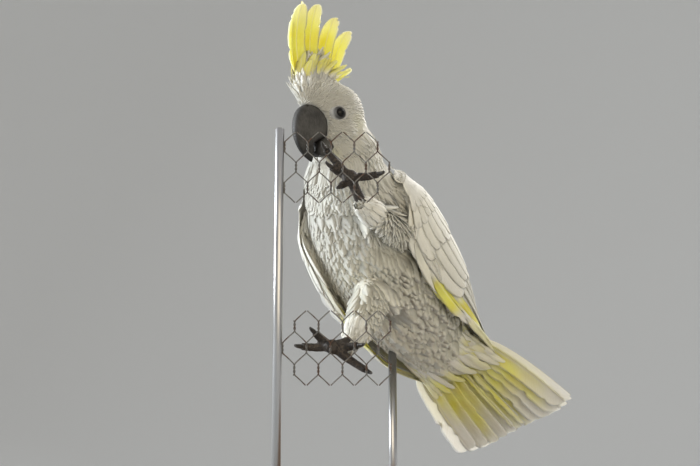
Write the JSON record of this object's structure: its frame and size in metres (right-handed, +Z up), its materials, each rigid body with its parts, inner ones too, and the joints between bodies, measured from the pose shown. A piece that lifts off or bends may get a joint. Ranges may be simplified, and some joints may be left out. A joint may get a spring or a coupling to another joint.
{
  "type": "sulphur-crested cockatoo, still display model",
  "caption": "Life-size white cockatoo with a raised yellow crest, leaning back as both feet grip a cut piece of wire netting, on a flat stand with rods.",
  "frame": {"origin": "centre of the stand's underside, on the surface it stands on", "axes": "+Z up; the bird's belly and the netting face -Y, and its head is turned towards -X"},
  "size_m": [0.3216, 0.3162, 0.505],
  "materials": {
    "plumage": "matte white feathers",
    "crest": "matte yellow feathers with white bases",
    "leg_skin": "dark grey scaly skin",
    "bill_horn": "powdery grey-black horn",
    "claw_horn": "smooth dark horn",
    "eye": "wet dark brown",
    "wire": "weathered galvanised wire",
    "steel": "satin",
    "wood": "oiled dark wood"
  },
  "bodies": {
    "root": {"head": "plumage", "neck": "plumage", "trunk": "plumage", "tail": "plumage", "wing_left": "plumage", "wing_right": "plumage", "thigh_left": "plumage", "thigh_right": "plumage", "crest": "crest", "bill_upper": "bill_horn", "bill_lower": "bill_horn", "eye_left": "eye", "eye_right": "eye", "shank_left": "leg_skin", "shank_right": "leg_skin", "foot_left": "leg_skin", "foot_right": "leg_skin", "claw_left_1": "claw_horn", "claw_left_2": "claw_horn", "claw_left_3": "claw_horn", "claw_left_4": "claw_horn", "claw_right_1": "claw_horn", "claw_right_2": "claw_horn", "claw_right_3": "claw_horn", "claw_right_4": "claw_horn", "netting_upper": "wire", "netting_lower": "wire", "stand_base": "wood", "stand_rod_perch": "steel", "stand_rod_body": "steel"}
  },
  "joints": []
}
